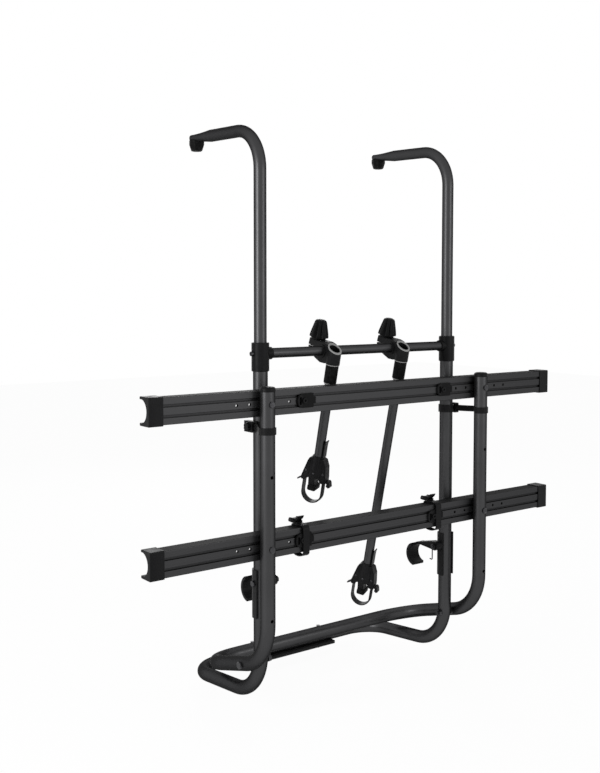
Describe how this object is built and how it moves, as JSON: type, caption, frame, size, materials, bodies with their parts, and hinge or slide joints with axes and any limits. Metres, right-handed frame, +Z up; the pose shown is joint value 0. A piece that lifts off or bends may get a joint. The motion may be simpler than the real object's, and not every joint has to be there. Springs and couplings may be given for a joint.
{
  "type": "door mounted bicycle rack",
  "caption": "Folding tube rack that hooks over a vehicle door and carries bicycles in two rails with clamping arms.",
  "frame": {"origin": "midway between the two hook pads, on their resting faces", "axes": "+X along the rails, +Y into the vehicle, +Z up"},
  "size_m": [1.28, 0.459, 1.4324],
  "materials": {
    "anodised_tube": "dark grey satin anodised tube",
    "rail_aluminium": "dark grey anodised extrusion",
    "zinc_steel": "dark zinc plated steel",
    "black_nylon": "black moulded glass-filled nylon",
    "black_rubber": "black moulded rubber",
    "strap_rubber": "black ribbed strap",
    "grey_trim": "light grey moulded trim"
  },
  "bodies": {
    "frame": {"rear_frame": "anodised_tube", "crossbar": "anodised_tube", "collars": "black_nylon", "collar_screws": "zinc_steel", "fold_bolts": "zinc_steel", "fold_spacers": "black_nylon", "hook_saddles": "black_nylon", "saddle_bolts": "zinc_steel", "strap_clamps": "black_nylon", "door_rest": "black_nylon", "rest_bolts": "zinc_steel"},
    "left_hook": {"hook_tube_left": "anodised_tube", "hook_pad_left": "black_rubber"},
    "right_hook": {"hook_tube_right": "anodised_tube", "hook_pad_right": "black_rubber"},
    "left_door_hook": {"door_hook_left": "black_nylon"},
    "right_door_hook": {"door_hook_right": "black_nylon"},
    "left_strap_knob": {"strap_knob_left": "black_nylon"},
    "right_strap_knob": {"strap_knob_right": "black_nylon"},
    "platform": {"platform_frame": "anodised_tube", "platform_caps": "black_nylon", "upper_rail": "rail_aluminium", "lower_rail": "rail_aluminium", "rail_caps": "black_nylon", "rail_bolts": "zinc_steel", "hold_straps": "strap_rubber"},
    "upper_left_holder": {"wheel_base_upper_left": "black_nylon"},
    "upper_right_holder": {"wheel_base_upper_right": "black_nylon"},
    "lower_left_holder": {"wheel_base_lower_left": "black_nylon", "wheel_strap_left": "strap_rubber"},
    "lower_right_holder": {"wheel_base_lower_right": "black_nylon", "wheel_strap_right": "strap_rubber"},
    "left_wheel_lever": {"wheel_lever_left": "black_nylon"},
    "right_wheel_lever": {"wheel_lever_right": "black_nylon"},
    "short_slider": {"short_arm_liner": "black_nylon"},
    "short_clamp": {"short_arm_clamp": "black_nylon", "short_arm_trim": "grey_trim", "short_arm_screw": "zinc_steel"},
    "short_knob": {"short_arm_knob": "black_nylon"},
    "short_arm": {"short_arm_tube": "anodised_tube", "short_arm_sleeve": "black_rubber", "short_arm_ferrule": "grey_trim", "short_arm_jaw": "black_nylon", "short_arm_cushion": "black_rubber", "short_arm_strap": "strap_rubber"},
    "short_jaw_lever": {"short_arm_lever": "black_nylon"},
    "long_slider": {"long_arm_liner": "black_nylon"},
    "long_clamp": {"long_arm_clamp": "black_nylon", "long_arm_trim": "grey_trim", "long_arm_screw": "zinc_steel"},
    "long_knob": {"long_arm_knob": "black_nylon"},
    "long_arm": {"long_arm_tube": "anodised_tube", "long_arm_sleeve": "black_rubber", "long_arm_ferrule": "grey_trim", "long_arm_jaw": "black_nylon", "long_arm_cushion": "black_rubber", "long_arm_strap": "strap_rubber"},
    "long_jaw_lever": {"long_arm_lever": "black_nylon"}
  },
  "joints": [
    {"name": "platform_fold", "type": "hinge", "parent": "frame", "child": "platform", "pos_m": [0, -0.284, -1.235], "axis": [1, 0, 0], "range_deg": [0, 67]},
    {"name": "left_hook_slide", "type": "slide", "parent": "frame", "child": "left_hook", "axis": [0, 0, 1], "range_m": [-0.15, 0.05]},
    {"name": "left_door_hook_turn", "type": "hinge", "parent": "frame", "child": "left_door_hook", "pos_m": [-0.2747, -0.284, -1.047], "axis": [1, 0, 0], "range_deg": [-28, 0]},
    {"name": "left_strap_knob_turn", "type": "hinge", "parent": "frame", "child": "left_strap_knob", "pos_m": [-0.333, -0.284, -0.672], "axis": [1, 0, 0], "continuous": true},
    {"name": "right_hook_slide", "type": "slide", "parent": "frame", "child": "right_hook", "axis": [0, 0, 1], "range_m": [-0.15, 0.05]},
    {"name": "right_door_hook_turn", "type": "hinge", "parent": "frame", "child": "right_door_hook", "pos_m": [0.2747, -0.284, -1.047], "axis": [1, 0, 0], "range_deg": [-40, 0]},
    {"name": "right_strap_knob_turn", "type": "hinge", "parent": "frame", "child": "right_strap_knob", "pos_m": [0.333, -0.284, -0.672], "axis": [1, 0, 0], "continuous": true},
    {"name": "upper_left_holder_slide", "type": "slide", "parent": "platform", "child": "upper_left_holder", "axis": [1, 0, 0], "range_m": [-0.07, 0.15]},
    {"name": "upper_right_holder_slide", "type": "slide", "parent": "platform", "child": "upper_right_holder", "axis": [1, 0, 0], "range_m": [-0.15, 0.07]},
    {"name": "lower_left_holder_slide", "type": "slide", "parent": "platform", "child": "lower_left_holder", "axis": [1, 0, 0], "range_m": [-0.045, 0.15]},
    {"name": "lower_right_holder_slide", "type": "slide", "parent": "platform", "child": "lower_right_holder", "axis": [1, 0, 0], "range_m": [-0.15, 0.07]},
    {"name": "left_wheel_lever_turn", "type": "hinge", "parent": "lower_left_holder", "child": "left_wheel_lever", "pos_m": [-0.229, -0.314, -0.8995], "axis": [1, 0, 0], "range_deg": [-100, 0]},
    {"name": "right_wheel_lever_turn", "type": "hinge", "parent": "lower_right_holder", "child": "right_wheel_lever", "pos_m": [0.204, -0.314, -0.8995], "axis": [1, 0, 0], "range_deg": [-100, 0]},
    {"name": "short_arm_slide", "type": "slide", "parent": "frame", "child": "short_slider", "axis": [1, 0, 0], "range_m": [-0.13, 0.08]},
    {"name": "short_arm_swing", "type": "hinge", "parent": "short_slider", "child": "short_clamp", "pos_m": [-0.107, -0.284, -0.502], "axis": [1, 0, 0], "range_deg": [-5, 250]},
    {"name": "short_knob_turn", "type": "hinge", "parent": "short_clamp", "child": "short_knob", "pos_m": [-0.107, -0.255, -0.45425], "axis": [0, -0.225, 0.9744], "continuous": true},
    {"name": "short_arm_swivel", "type": "hinge", "parent": "short_clamp", "child": "short_arm", "pos_m": [-0.107, -0.31226, -0.50852], "axis": [0, -0.225, 0.9744], "continuous": true},
    {"name": "short_jaw_lever_turn", "type": "hinge", "parent": "short_arm", "child": "short_jaw_lever", "pos_m": [-0.0893, -0.26857, -0.83404], "axis": [0.866, 0.4872, 0.1125], "range_deg": [-100, 0]},
    {"name": "long_arm_slide", "type": "slide", "parent": "frame", "child": "long_slider", "axis": [1, 0, 0], "range_m": [-0.06, 0.08]},
    {"name": "long_arm_swing", "type": "hinge", "parent": "long_slider", "child": "long_clamp", "pos_m": [0.119, -0.284, -0.502], "axis": [1, 0, 0], "range_deg": [-5, 250]},
    {"name": "long_knob_turn", "type": "hinge", "parent": "long_clamp", "child": "long_knob", "pos_m": [0.119, -0.255, -0.45425], "axis": [0, -0.225, 0.9744], "continuous": true},
    {"name": "long_arm_swivel", "type": "hinge", "parent": "long_clamp", "child": "long_arm", "pos_m": [0.119, -0.31226, -0.50852], "axis": [0, -0.225, 0.9744], "continuous": true},
    {"name": "long_jaw_lever_turn", "type": "hinge", "parent": "long_arm", "child": "long_jaw_lever", "pos_m": [0.1367, -0.19366, -1.1585], "axis": [0.866, 0.4872, 0.1125], "range_deg": [-100, 0]}
  ]
}
